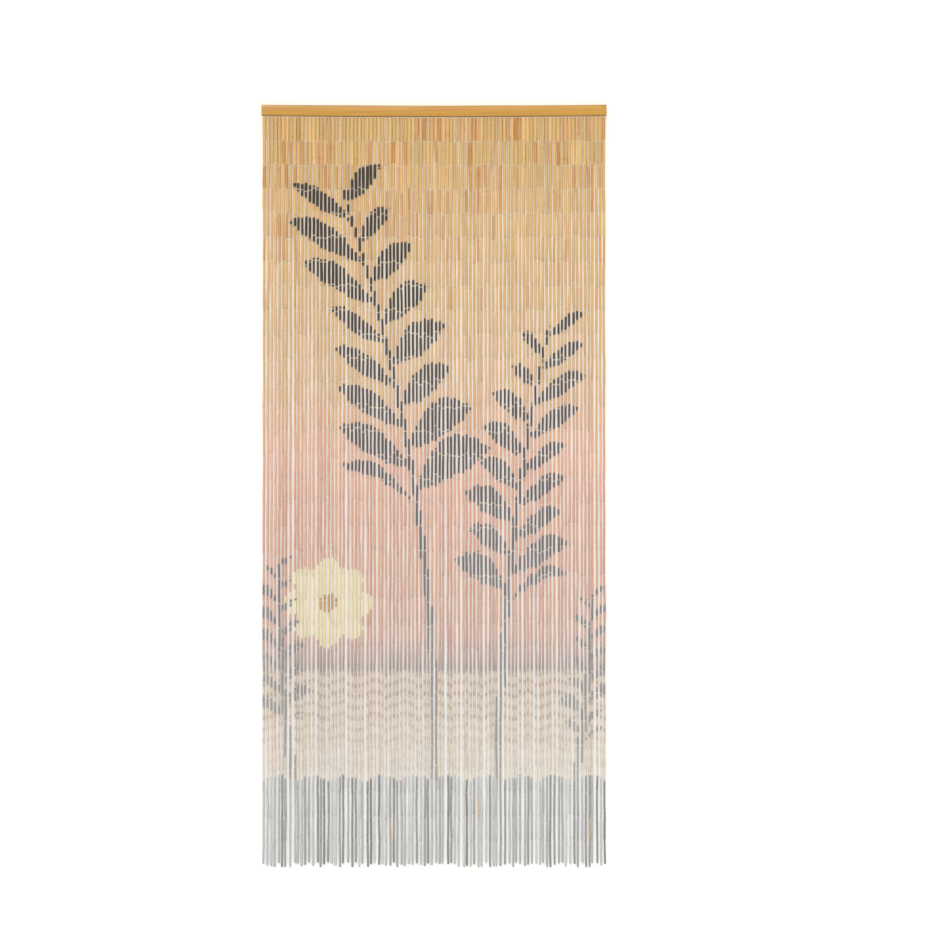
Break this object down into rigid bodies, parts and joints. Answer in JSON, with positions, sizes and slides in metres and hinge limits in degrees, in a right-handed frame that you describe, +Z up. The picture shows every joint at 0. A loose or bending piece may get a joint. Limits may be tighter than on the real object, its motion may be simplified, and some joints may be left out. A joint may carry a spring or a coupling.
{
  "type": "bamboo door curtain with wooden rail",
  "caption": "String curtain for a doorway: a flat wooden rail with close strands of linked bamboo tubes, painted in fading bands with a leafy design.",
  "frame": {"origin": "middle of the rail's flat back face, which lies against the door frame or wall", "axes": "+Z up, +Y into the door frame or wall, +X along the rail; the painted front looks to -Y"},
  "size_m": [0.9, 0.013, 2],
  "materials": {
    "rail_wood": "honey-stained wood, satin varnish",
    "bamboo": "natural bamboo tubes, painted in fading bands and polished by a thin varnish",
    "link_wire": "bright drawn steel wire"
  },
  "bodies": {
    "root": {"rail": "rail_wood", "strands": "bamboo"}
  },
  "joints": []
}
